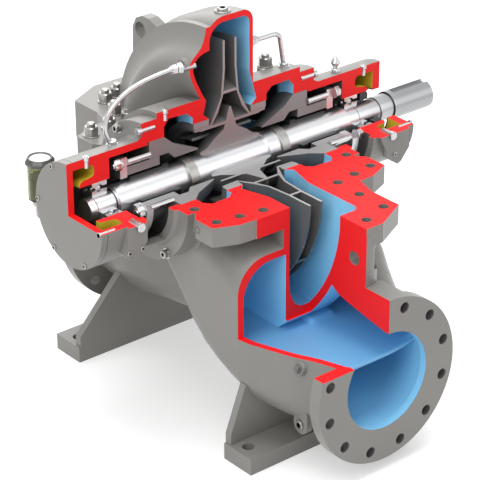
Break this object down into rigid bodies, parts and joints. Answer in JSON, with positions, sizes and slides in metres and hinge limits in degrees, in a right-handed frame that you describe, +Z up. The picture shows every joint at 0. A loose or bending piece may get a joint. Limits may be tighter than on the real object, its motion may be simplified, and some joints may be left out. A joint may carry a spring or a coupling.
{
  "type": "split case pump",
  "caption": "Cutaway double-suction split case pump on two feet, with side nozzles, open scroll and a shaft that turns freely in the bearing housings.",
  "frame": {"origin": "centre of the foundation bolt pattern on the underside of the feet", "axes": "+X along the shaft to the coupling end, -Y out of the suction flange, +Z up"},
  "size_m": [0.91, 0.857, 0.789],
  "materials": {
    "painted_casting": "satin",
    "dark_casting": "matt",
    "ring_bronze": "satin",
    "black_seal": "satin",
    "grey_steel": "satin",
    "bright_steel": "polished"
  },
  "bodies": {
    "casing": {"lower_casing": "painted_casting", "upper_casing": "painted_casting", "bearing_bracket_nde": "painted_casting", "bearing_bracket_de": "painted_casting", "end_cover_nde": "painted_casting", "end_cover_de": "painted_casting", "wear_ring_nde": "ring_bronze", "wear_ring_de": "ring_bronze", "seal_chamber_nde": "grey_steel", "seal_chamber_de": "grey_steel", "seal_barrel_nde": "grey_steel", "seal_barrel_de": "grey_steel", "gland_plate_nde": "bright_steel", "gland_plate_de": "bright_steel", "gland_studs_nde": "bright_steel", "gland_studs_de": "bright_steel", "bearing_outer_nde": "bright_steel", "bearing_outer_de": "bright_steel", "flush_tube_nde": "bright_steel", "flush_tube_de": "bright_steel"},
    "rotor": {"shaft": "bright_steel", "impeller": "dark_casting", "shaft_sleeve_nde": "bright_steel", "shaft_sleeve_de": "bright_steel", "sleeve_nut_nde": "bright_steel", "sleeve_nut_de": "bright_steel", "spacer_nde": "bright_steel", "spacer_de": "bright_steel", "seal_head_nde": "black_seal", "seal_head_de": "black_seal", "bearing_inner_nde": "bright_steel", "bearing_inner_de": "bright_steel", "bearing_balls_nde": "bright_steel", "bearing_balls_de": "bright_steel"}
  },
  "joints": [
    {"name": "shaft_spin", "type": "hinge", "parent": "casing", "child": "rotor", "pos_m": [0, 0, 0.485], "axis": [1, 0, 0], "continuous": true}
  ]
}
